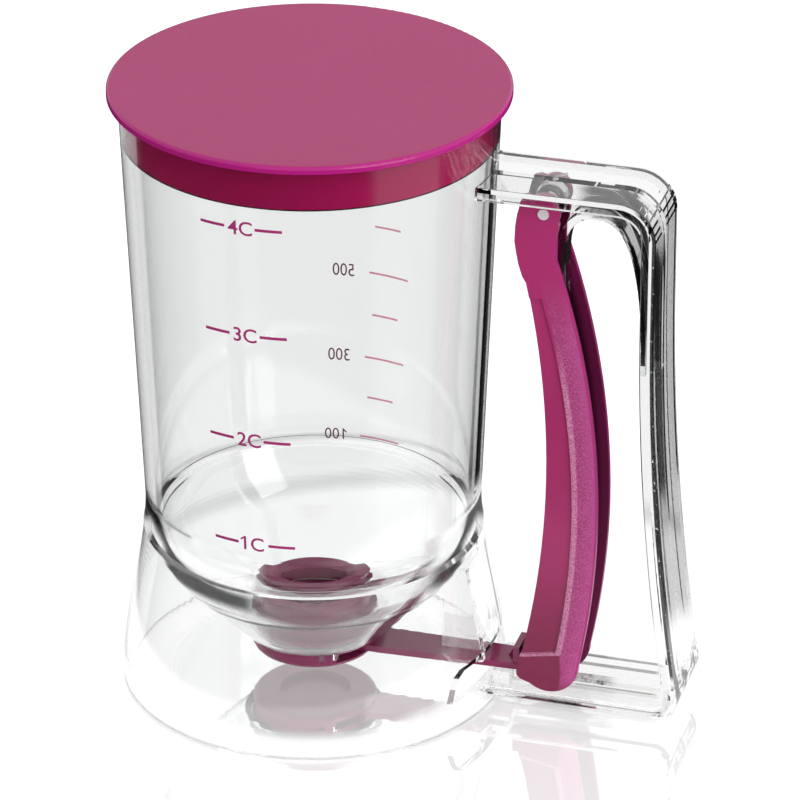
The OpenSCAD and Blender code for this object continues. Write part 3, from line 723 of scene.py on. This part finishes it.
far = acrylic.above(from_middle, 115 * MM, 135 * MM)
side = y.math("ARCTAN2", x - AXIS_X)
outer_shine = (OUTER_SHINE * acrylic.above(radius, 54 * MM, 58 * MM)
               * acrylic.below(from_middle, 100 * MM, 190 * MM))
shine = VALVE_SHINE * acrylic.below(radius, 38 * MM, 47 * MM) + outer_shine
mirror_share = (to_lens + through * (1 - far)).clamped() * shine
card_light = CARD_DARK + acrylic.within(side, -36 * DEGREE, 6 * DEGREE, 3 * DEGREE) * CARD_PALER
mirror = acrylic.add("ShaderNodeBsdfGlossy", Color=rgb(1, 1, 1), Roughness=0.0)
card = acrylic.add("ShaderNodeEmission", Color=rgb(1, 1, 1), Strength=card_light)
opening = acrylic.add("ShaderNodeBsdfTransparent")
seen = acrylic.add("ShaderNodeMixShader", Fac=mirror_share, _1=acrylic.surface(), _2=mirror)
seen = acrylic.add("ShaderNodeMixShader", Fac=mirrored * far, _1=seen, _2=card)
seen = acrylic.add("ShaderNodeMixShader", Fac=through * far, _1=seen, _2=opening)
put(acrylic.tree, acrylic.tree.nodes["Material Output"].inputs["Surface"], seen)
mesh.materials.append(acrylic.material)
print("floor finish: %d shader nodes" % len(acrylic.tree.nodes))

# %% [markdown]
# A soft, even light comes from all round. The studio's own black cards stand low in it, where only
# rays that come through clear plastic can see them: one at the far right, and one that runs round the
# other sides, with a paler stretch on the handle's side.

# %% The studio's light
STUDIO_LEVEL, LENS_EXTRA = 0.9, 0.1
CARD_DEPTH, CARD_GAP = 0.98, 0.42

scene = bpy.context.scene
scene.view_settings.view_transform = "Standard"
world = bpy.data.worlds.new("studio")
scene.world = world


class Studio(Finish):
    """The same small language for the world's own nodes."""

    def __init__(self, world):
        world.use_nodes = True
        self.tree = world.node_tree
        self.shader = self.tree.nodes["Background"]


studio = Studio(world)
dx, dy, dz = studio.xyz(studio.add("ShaderNodeTexCoord", out="Generated"))
turn = dy.math("ARCTAN2", dx)
nearer = dx * VIEWER_X + dy * VIEWER_Y
far_card = (studio.within(turn, 40 * DEGREE, 89.5 * DEGREE, DEGREE)
            * studio.within(dz, -0.85, -0.2, 0.03))
handle_side = studio.within(turn, -36 * DEGREE, 14 * DEGREE, 5 * DEGREE)
front_card = (studio.above(nearer, -0.60, -0.57)
              * studio.within(dz, -0.60, -0.12, 0.015)
              * (1 - CARD_GAP * handle_side))
through = studio.add("ShaderNodeLightPath", out="Is Transmission Ray")
to_lens = studio.add("ShaderNodeLightPath", out="Is Camera Ray")
dark = (far_card + front_card).clamped() * through
level = (STUDIO_LEVEL + LENS_EXTRA * (through + to_lens).clamped()) * (1 - CARD_DEPTH * dark)
studio.set(Color=studio.mix(level, rgb(0, 0, 0), rgb(1, 1, 1)), Strength=1.0)
print("studio light: %d shader nodes" % len(studio.tree.nodes))

# %% [markdown]
# One large soft box on the right gives the plastic its highlights.

# %% The soft box
BOX_PLACE, BOX_AIM = Vector((1.0, -0.5, 0.5)), Vector((0, 0, 0.1))
BOX_WIDTH, BOX_HEIGHT, BOX_POWER = 0.8, 1.0, 8

lamp = bpy.data.lights.new("right_box", "AREA")
lamp.shape = "RECTANGLE"
lamp.size, lamp.size_y = BOX_WIDTH, BOX_HEIGHT
lamp.energy = BOX_POWER
soft_box = bpy.data.objects.new("right_box", lamp)
bpy.context.collection.objects.link(soft_box)
soft_box.location = BOX_PLACE
soft_box.rotation_mode = "QUATERNION"
soft_box.rotation_quaternion = (BOX_AIM - BOX_PLACE).to_track_quat("-Z", "Y")
print("soft box of %d W" % BOX_POWER)
